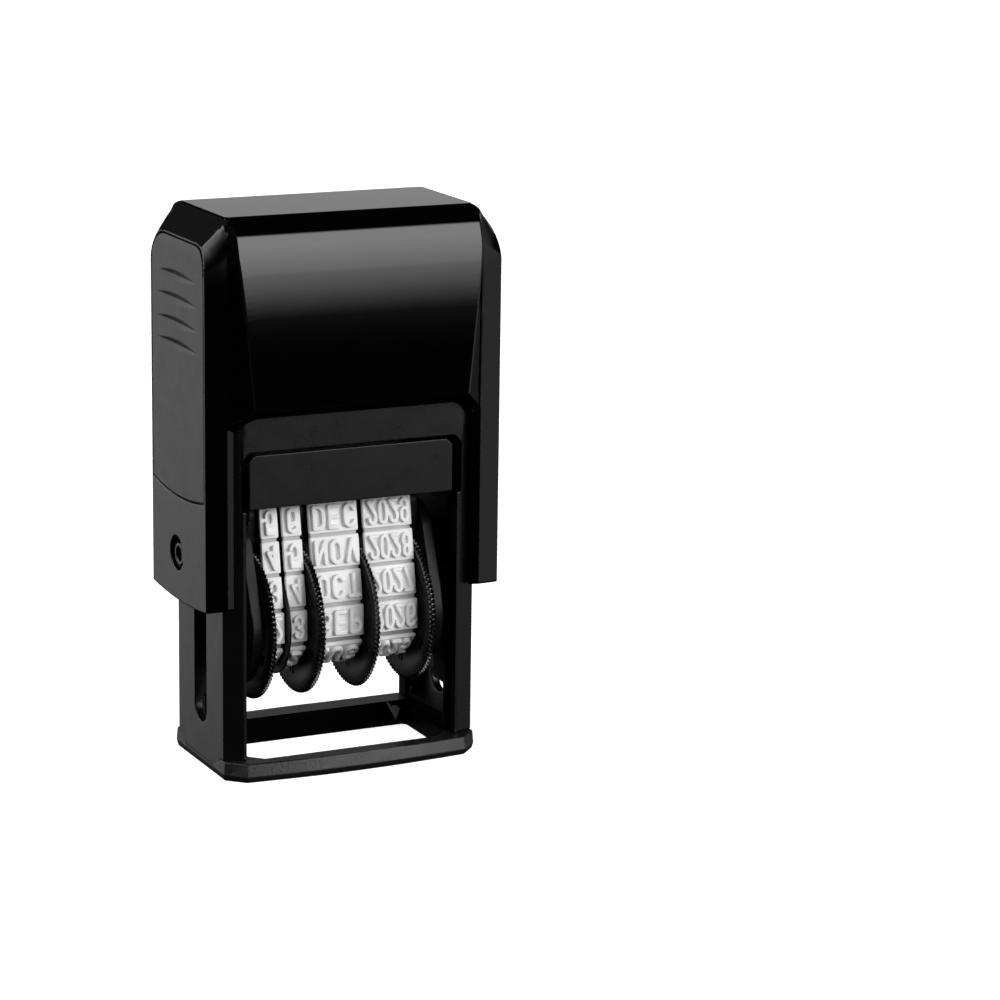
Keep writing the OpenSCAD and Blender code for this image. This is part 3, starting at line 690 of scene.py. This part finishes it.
def spring_wire():
    """Round wire coil with closed end turns."""
    turns, radius, wire, z0, z1 = 6, 4.6, 0.9, 44.5, 69.7
    steps, sides = turns * 48, 14
    bm = bmesh.new()
    rings = []
    k, s, length = 0.8 / turns, 0.9 * wire, z1 - z0

    def height_at(u):
        if u < k:
            return z0 + s * u / k
        if u > 1 - k:
            return z1 - s * (1 - u) / k
        return z0 + s + (length - 2 * s) * (u - k) / (1 - 2 * k)

    for i in range(steps + 1):
        u = i / steps
        a = 2 * math.pi * turns * u
        ring = []
        for j in range(sides):
            b = 2 * math.pi * j / sides
            q = radius + wire / 2 * math.cos(b)
            ring.append(bm.verts.new((q * math.cos(a) * MM, q * math.sin(a) * MM, (height_at(u) + wire / 2 * math.sin(b)) * MM)))
        rings.append(ring)
    for a, b in zip(rings, rings[1:]):
        for j in range(sides):
            bm.faces.new((a[j], a[(j + 1) % sides], b[(j + 1) % sides], b[j]))
    bm.faces.new(rings[0])
    bm.faces.new(rings[-1])
    coil = finish_mesh(bm, "return_spring_wire", [SPRING], "base", ("return_spring",), 60.0)
    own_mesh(coil)


spring_wire()

# ---------------------------------------------------------------- print head
for side in ("left", "right"):
    # the cheeks' outer faces take the lighter, more reflective black: a painted sheen
    softened(f"{side}_cheek", f"{side}_head_cheek", 0.18 * MM, [HEAD, CHEEK_SIDE_SHEEN], "head", weld=0.01 * MM,
             paint=lambda c, n: 1 if n.x * c.x > 0.85 * abs(c.x) else 0)
softened("band_bridge", "band_nose_bridge", 0.15 * MM, [HEAD], "head", weld=0.01 * MM)
softened("day_divider", "day_band_divider", 0.08 * MM, [HEAD], "head", weld=0.01 * MM)
softened("wheel_axle", "axle_pin", 0.15 * MM, [AXLE], "head", weld=0.01 * MM)

AXLE_Z, WHEEL_R, TEETH, DRUM_R, BORE = 18.2, 10.0, 92, 4.97, 1.05


def ring_strip(bm, a, b, material=0):
    n = len(a)
    for i in range(n):
        bm.faces.new((a[i], a[(i + 1) % n], b[(i + 1) % n], b[i])).material_index = material


def setting_wheel(name, body, node, d0, d1, w0, w1):
    """Toothed disc on a drum: bead teeth on the rim, a sunk field on each face, arrow marks pointing to the rim."""
    per = 8
    n = TEETH * per
    bm = bmesh.new()
    t = d1 - d0
    lip = min(0.2, t * 0.28)

    def ring(x, radius, tooth=0.0):
        vs = []
        for i in range(n):
            a = 2 * math.pi * i / n
            wave = 0.5 + 0.5 * math.cos(TEETH * a)
            r = radius - tooth * (1 - wave ** 1.7)
            vs.append(bm.verts.new((x * MM, r * math.cos(a) * MM, (AXLE_Z + r * math.sin(a)) * MM)))
        return vs

    sink = min(0.1, t * 0.14)
    # walk the outline of half a section, from the bore round the disc and drum and back
    path = []
    if d0 < w0:
        path += [(d0, BORE, 0), (d0, 3.2, 0), (d0 + sink, 3.4, 0), (d0 + sink, 7.7, 0), (d0, 7.9, 0)]
    else:
        path += [(w0, BORE, 0), (w0, DRUM_R - 0.12, 0), (w0 + 0.12, DRUM_R, 0), (d0, DRUM_R, 0), (d0, 6.2, 0), (d0 + sink, 6.4, 0), (d0 + sink, 7.7, 0), (d0, 7.9, 0)]
    first = len(path)
    path += [(d0, 9.3, 0), (d0 + 0.05, 9.52, 0.16), (d0 + lip * 0.5, 9.82, 0.36), (d0 + lip, 9.99, 0.5), (d1 - lip, 9.99, 0.5), (d1 - lip * 0.5, 9.82, 0.36), (d1 - 0.05, 9.52, 0.16), (d1, 9.3, 0)]
    last = len(path) - 1
    if w1 > d1:
        path += [(d1, 7.9, 0), (d1 - sink, 7.7, 0), (d1 - sink, 6.4, 0), (d1, 6.2, 0), (d1, DRUM_R, 0), (w1 - 0.12, DRUM_R, 0), (w1, DRUM_R - 0.12, 0), (w1, BORE, 0)]
    else:
        path += [(d1, 7.9, 0), (d1 - sink, 7.7, 0), (d1 - sink, 3.4, 0), (d1, 3.2, 0), (d1, BORE, 0)]
    rings = [ring(*p) for p in path]
    for k, (a, b) in enumerate(zip(rings, rings[1:])):
        ring_strip(bm, a, b, 1 if first <= k < last else 0)
    ring_strip(bm, rings[-1], rings[0])
    # arrow marks stand in the sunk field
    for face_x, sign in ((d0, -1.0), (d1, 1.0)):
        for q in range(6):
            a = 2 * math.pi * (q + 0.5) / 6
            for off in (-0.055, 0.055):
                pts = []
                for rr, da in ((6.5, off), (7.55, off - 0.04), (7.55, off + 0.04)):
                    pts.append((rr * math.cos(a + da), rr * math.sin(a + da)))
                base = [bm.verts.new(((face_x - sign * (sink + 0.02)) * MM, y * MM, (AXLE_Z + z) * MM)) for y, z in pts]
                top = [bm.verts.new(((face_x + sign * 0.0) * MM, y * MM, (AXLE_Z + z) * MM)) for y, z in pts]
                bm.faces.new(base)
                bm.faces.new(top)
                ring_strip(bm, base, top)
    return finish_mesh(bm, name, [WHEEL, TEETH_GLOSS], body, (node,), 35.0)


setting_wheel("day_tens_disc", "day_tens_setting", "day_tens_wheel", -11.5, -10.72, -11.0, -8.1)
setting_wheel("day_units_disc", "day_units_setting", "day_units_wheel", -4.88, -4.0, -7.65, -4.5)
setting_wheel("month_disc", "month_setting", "month_wheel", 3.0, 3.55, -3.9, 3.3)
setting_wheel("year_disc", "year_setting", "year_wheel", 10.6, 11.4, 3.65, 11.0)


# ---------------------------------------------------------------- characters
def arc(cx, cy, rx, ry, a0, a1, n=14):
    return [(cx + rx * math.cos(math.radians(a0 + (a1 - a0) * i / n)), cy + ry * math.sin(math.radians(a0 + (a1 - a0) * i / n))) for i in range(n + 1)]


STROKES = {
    "0": [arc(.5, .72, .5, .28, 0, 180) + arc(.5, .28, .5, .28, 180, 360) + [(1, .72)]],
    "1": [[(.18, .76), (.58, 1), (.58, 0)]],
    "2": [arc(.5, .72, .5, .28, 165, -25) + [(0, 0), (1, 0)]],
    "3": [arc(.48, .76, .46, .24, 160, -90) + [(.38, .52)], [(.38, .52)] + arc(.48, .26, .5, .26, 90, -160)],
    "4": [[(.8, 0), (.8, 1), (0, .24), (1, .24)]],
    "5": [[(.92, 1), (.12, 1), (.06, .52)] + arc(.48, .32, .5, .32, 128, -155)],
    "6": [arc(.5, .79, .5, .21, 16, 180) + [(0, .3)], arc(.5, .43, .5, .19, 0, 180) + arc(.5, .19, .5, .19, 180, 360) + [(1, .43)]],
    "7": [[(0, 1), (1, 1), (.1, 0)]],
    "8": [arc(.5, .765, .42, .235, 0, 360, 24), arc(.5, .265, .5, .265, 0, 360, 24)],
    "9": [arc(.5, .28, .5, .28, 202, 360) + [(1, .7)], arc(.5, .7, .5, .3, 0, 360, 24)],
    "A": [[(0, 0), (.5, 1), (1, 0)], [(.16, .3), (.84, .3)]],
    "B": [[(0, 0), (0, 1), (.5, 1)] + arc(.5, .76, .42, .24, 90, -90) + [(0, .52)], [(.5, .52)] + arc(.5, .26, .5, .26, 90, -90) + [(0, 0)]],
    "C": [arc(.5, .72, .5, .28, 12, 180) + arc(.5, .28, .5, .28, 180, 348)],
    "D": [[(0, 0), (0, 1), (.42, 1)] + arc(.42, .7, .58, .3, 90, 0) + arc(.42, .3, .58, .3, 0, -90) + [(0, 0)]],
    "E": [[(.92, 1), (0, 1), (0, 0), (.92, 0)], [(0, .52), (.8, .52)]],
    "F": [[(.92, 1), (0, 1), (0, 0)], [(0, .52), (.8, .52)]],
    "G": [arc(.5, .72, .5, .28, 14, 180) + arc(.5, .28, .5, .28, 180, 360) + [(1, .46), (.56, .46)]],
    "J": [[(.9, 1), (.9, .27)] + arc(.46, .27, .44, .27, 0, -168)],
    "L": [[(0, 1), (0, 0), (.92, 0)]],
    "M": [[(0, 0), (0, 1), (.5, .28), (1, 1), (1, 0)]],
    "N": [[(0, 0), (0, 1), (1, 0), (1, 1)]],
    "O": [arc(.5, .72, .5, .28, 0, 180) + arc(.5, .28, .5, .28, 180, 360) + [(1, .72)]],
    "P": [[(0, 0), (0, 1), (.5, 1)] + arc(.5, .74, .48, .26, 90, -90) + [(0, .48)]],
    "R": [[(0, 0), (0, 1), (.5, 1)] + arc(.5, .74, .48, .26, 90, -90) + [(0, .48)], [(.52, .48), (1, 0)]],
    "S": [arc(.5, .75, .48, .25, 22, 250) + arc(.5, .255, .5, .255, 70, -158)],
    "T": [[(0, 1), (1, 1)], [(.5, 1), (.5, 0)]],
    "U": [[(0, 1)] + arc(.5, .28, .5, .28, 180, 360) + [(1, 1)]],
    "V": [[(0, 1), (.5, 0), (1, 1)]],
    "Y": [[(0, 1), (.5, .46), (1, 1)], [(.5, .46), (.5, 0)]],
}


def outlines(strokes, half):
    """Closed outlines of a stroked drawing, from its distance field."""
    pts = np.array([p for s in strokes for p in s])
    pad = half + 0.12
    lo, hi = pts.min(0) - pad, pts.max(0) + pad
    step = 0.03
    nx, ny = int((hi[0] - lo[0]) / step) + 2, int((hi[1] - lo[1]) / step) + 2
    gx, gy = np.meshgrid(lo[0] + step * np.arange(nx), lo[1] + step * np.arange(ny), indexing="ij")
    dist = np.full(gx.shape, 9.0)
    for s in strokes:
        for (x0, y0), (x1, y1) in zip(s, s[1:]):
            dx, dy = x1 - x0, y1 - y0
            q = dx * dx + dy * dy
            t = np.clip(((gx - x0) * dx + (gy - y0) * dy) / q, 0, 1) if q > 1e-12 else np.zeros_like(gx)
            dist = np.minimum(dist, np.hypot(gx - x0 - t * dx, gy - y0 - t * dy))
    f = half - dist
    f[np.abs(f) < 1e-6] = 1e-6
    inside = f > 0

    def cut(i0, j0, i1, j1):
        a, b = f[i0, j0], f[i1, j1]
        t = a / (a - b)
        return (lo[0] + step * (i0 + t * (i1 - i0)), lo[1] + step * (j0 + t * (j1 - j0)))

    nxt = {}
    for i in range(nx - 1):
        for j in range(ny - 1):
            c = (inside[i, j], inside[i + 1, j], inside[i + 1, j + 1], inside[i, j + 1])
            if all(c) or not any(c):
                continue
            sides = [((i, j), (i + 1, j)), ((i + 1, j), (i + 1, j + 1)), ((i + 1, j + 1), (i, j + 1)), ((i, j + 1), (i, j))]
            enter = [tuple(sorted(s)) for k, s in enumerate(sides) if not c[k] and c[(k + 1) % 4]]
            leave = [tuple(sorted(s)) for k, s in enumerate(sides) if c[k] and not c[(k + 1) % 4]]
            if len(enter) == 1:
                nxt[leave[0]] = enter[0]
            else:
                for e, l in zip(enter, leave):
                    nxt[l] = e
    loops = []
    while nxt:
        start, k = next(iter(nxt.items()))
        loop = [start]
        del nxt[start]
        while k != start and k in nxt:
            loop.append(k)
            k = nxt.pop(k)
        loops.append([cut(*a, *b) for a, b in loop])
    return [thin(l) for l in loops if len(l) > 8]


def thin(loop, tol=0.006):
    """Drops points that lie on the line of their neighbours."""
    pts = np.array(loop)
    n = len(pts)
    a, b = 0, n // 2

    def walk(i, j):
        if j - i < 2:
            return []
        p, q = pts[i % n], pts[j % n]
        d = q - p
        length = np.hypot(*d)
        seg = pts[[k % n for k in range(i + 1, j)]] - p
        off = np.abs(seg[:, 0] * d[1] - seg[:, 1] * d[0]) / length if length > 1e-9 else np.hypot(seg[:, 0], seg[:, 1])
        k = int(np.argmax(off))
        if off[k] < tol and j - i < 24:
            return []
        k += i + 1
        return walk(i, k) + [k] + walk(k, j)

    keep = [a] + walk(a, b) + [b] + walk(b, n + a)
    return [tuple(pts[k % n]) for k in keep]


GLYPHS = {}


def glyph(ch, width, height, half, rise, edge):
    """Vertices and faces of a raised character: flat face, rounded shoulders, base at 0. In mm, centred."""
    key = (ch, round(width, 3), round(height, 3))
    if key in GLYPHS:
        return GLYPHS[key]
    w, h = width - 2 * half, height - 2 * half
    strokes = [[((x - 0.5) * w, (y - 0.5) * h) for x, y in s] for s in STROKES[ch]]
    curve = bpy.data.curves.new("glyph", "CURVE")
    curve.dimensions = "2D"
    curve.fill_mode = "BOTH"
    for loop in outlines(strokes, half - edge):
        sp = curve.splines.new("POLY")
        sp.points.add(len(loop) - 1)
        for p, (x, y) in zip(sp.points, loop):
            p.co = (x, y, 0, 1)
        sp.use_cyclic_u = True
    curve.extrude = rise - edge
    curve.bevel_depth = edge
    curve.bevel_resolution = 2
    obj = bpy.data.objects.new("glyph", curve)
    scene.collection.objects.link(obj)
    deps = bpy.context.evaluated_depsgraph_get()
    mesh = bpy.data.meshes.new_from_object(obj.evaluated_get(deps))
    bm = bmesh.new()
    bm.from_mesh(mesh)
    bmesh.ops.remove_doubles(bm, verts=bm.verts, dist=1e-4)
    # the lower half is sunk in the plate: cut it off just below the plate's face
    cut = bmesh.ops.bisect_plane(bm, geom=bm.verts[:] + bm.edges[:] + bm.faces[:], plane_co=(0, 0, -0.05), plane_no=(0, 0, -1), clear_outer=True)
    rim = [e for e in cut["geom_cut"] if isinstance(e, bmesh.types.BMEdge)]
    bmesh.ops.triangle_fill(bm, edges=rim, use_beauty=True)
    bmesh.ops.recalc_face_normals(bm, faces=bm.faces)
    bm.verts.index_update()
    vs = [tuple(v.co) for v in bm.verts]
    fs = [[v.index for v in f.verts] for f in bm.faces]
    bm.free()
    bpy.data.objects.remove(obj)
    bpy.data.curves.remove(curve)
    bpy.data.meshes.remove(mesh)
    GLYPHS[key] = (vs, fs)
    return GLYPHS[key]


# ---------------------------------------------------------------- type bands
NOSE_Z, DRUM_T, NOSE_T = 32.35, 6.0, 3.5
BELT_T, PLATE_T, CHAR_T, TYPES, TYPE_LEN = 0.5, 0.45, 0.4, 12, 4.08
PLATE_SHOW, CHAR_RISE = 0.33, 0.52
SLACK = 0.47   # the plates on the straight runs sit this much nearer the drum
SPAN = NOSE_Z - AXLE_Z
TILT = math.asin((DRUM_T - NOSE_T) / SPAN)
IN_D, IN_N = DRUM_T - BELT_T - PLATE_T, NOSE_T - BELT_T - PLATE_T
PITCH_D, PITCH_N = IN_D + BELT_T / 2, IN_N + BELT_T / 2
RUN = SPAN * math.cos(TILT)
NOSE_HALF = PITCH_N * (math.pi / 2 - TILT)
DRUM_HALF = PITCH_D * (math.pi / 2 + TILT)
LOOP = 2 * (RUN + NOSE_HALF + DRUM_HALF)


def band_at(s):
    """Point on the pitch line and angle of the outward normal, in the (y, z) plane, at distance s from the nose's top towards the front."""
    s %= LOOP
    if s > LOOP / 2:
        y, z, a = band_at(LOOP - s)
        return -y, z, math.pi - a
    if s < NOSE_HALF:
        a = math.pi / 2 + s / PITCH_N
        return PITCH_N * math.cos(a), NOSE_Z + PITCH_N * math.sin(a), a
    a = math.pi - TILT
    if s < NOSE_HALF + RUN:
        t = s - NOSE_HALF
        return PITCH_N * math.cos(a) - t * math.sin(TILT), NOSE_Z + PITCH_N * math.sin(a) - t * math.cos(TILT), a
    a += (s - NOSE_HALF - RUN) / PITCH_D
    return PITCH_D * math.cos(a), AXLE_Z + PITCH_D * math.sin(a), a


def type_band(name, node, x0, x1, words, char_w, pen, margin=0.3):
    bm = bmesh.new()
    # belt: closed loop with soft edges
    steps = 240
    inset = 0.16
    section = [(-BELT_T / 2, x0 + inset + 0.1), (-BELT_T / 2, x1 - inset - 0.1), (-BELT_T / 2 + 0.1, x1 - inset), (BELT_T / 2 - 0.1, x1 - inset),
               (BELT_T / 2, x1 - inset - 0.1), (BELT_T / 2, x0 + inset + 0.1), (BELT_T / 2 - 0.1, x0 + inset), (-BELT_T / 2 + 0.1, x0 + inset)]
    rings = []
    for i in range(steps):
        y, z, a = band_at(LOOP * i / steps)
        rings.append([bm.verts.new((x * MM, (y + n * math.cos(a)) * MM, (z + n * math.sin(a)) * MM)) for n, x in section])
    for i in range(steps):
        ring_strip(bm, rings[i], rings[(i + 1) % steps], 1)
    # plates with rounded edges, and the characters on them
    mid, half_w = (x0 + x1) / 2, (x1 - x0) / 2
    for i in range(TYPES):
        y, z, a = band_at(LOOP * i / TYPES + (SLACK if 0 < i < 6 else -SLACK if i > 6 else 0.0))
        out_dir = Vector((0, math.cos(a), math.sin(a)))
        along = Vector((0, -math.sin(a), math.cos(a)))   # direction of growing s
        origin = Vector((mid, y, z))

        def at(u, v, n):
            return (origin + Vector((u, 0, 0)) + along * v + out_dir * n) * MM

        top = BELT_T / 2 + PLATE_SHOW
        levels = [(0.1, 0.0), (top - 0.16, 0.0), (top - 0.06, 0.03), (top - 0.015, 0.08), (top, 0.16)]
        loops = []
        for n, shrink in levels:
            hw, hl, c = half_w - shrink, TYPE_LEN / 2 - shrink, 0.18
            pts = []
            for sx, sy, a0 in ((1, 1, 0), (-1, 1, 90), (-1, -1, 180), (1, -1, 270)):
                for k in range(4):
                    t = math.radians(a0 + 30 * k)
                    pts.append((sx * (hw - c) + c * math.cos(t), sy * (hl - c) + c * math.sin(t)))
            loops.append([bm.verts.new(at(u, v, n)) for u, v in pts])
        for p, q in zip(loops, loops[1:]):
            ring_strip(bm, p, q, 2)
        bm.faces.new(loops[0]).material_index = 2
        bm.faces.new(loops[-1]).material_index = 2
        word = words[i]
        if word:
            n_ch = len(word)
            room = (x1 - x0 - margin) / n_ch if n_ch > 1 else 0
            for k, ch in enumerate(word):
                cx = (k - (n_ch - 1) / 2) * room
                vs, fs = glyph(ch, char_w, 3.25, pen, CHAR_RISE, 0.1)
                made = [bm.verts.new(at(cx + vx, vy, top + vz)) for vx, vy, vz in vs]
                for f in fs:
                    bm.faces.new([made[j] for j in f])
    band = finish_mesh(bm, name, [RUBBER, BELT, PLATE], "head", (node,), 40.0)
    return band


MONTHS = ["JAN", "DEC", "NOV", "OCT", "SEP", "AUG", "JUL", "JUN", "MAY", "APR", "MAR", "FEB"]
TENS = [str(6 - i) for i in range(7)] + ["", ""] + ["9", "8", "7"]
UNITS = [str(7 - i) for i in range(8)] + ["", ""] + ["9", "8"]
YEARS = [str(2030 - i) for i in range(7)] + [str(2042 - i) for i in range(7, 12)]
type_band("day_tens_types", "day_tens_band", -10.6, -8.15, TENS, 1.5, 0.25)
type_band("day_units_types", "day_units_band", -7.6, -4.98, UNITS, 1.55, 0.25)
type_band("month_types", "month_band", -3.9, 2.9, MONTHS, 1.82, 0.27)
type_band("year_types", "year_band", 3.65, 10.5, YEARS, 1.4, 0.24, 0.8)
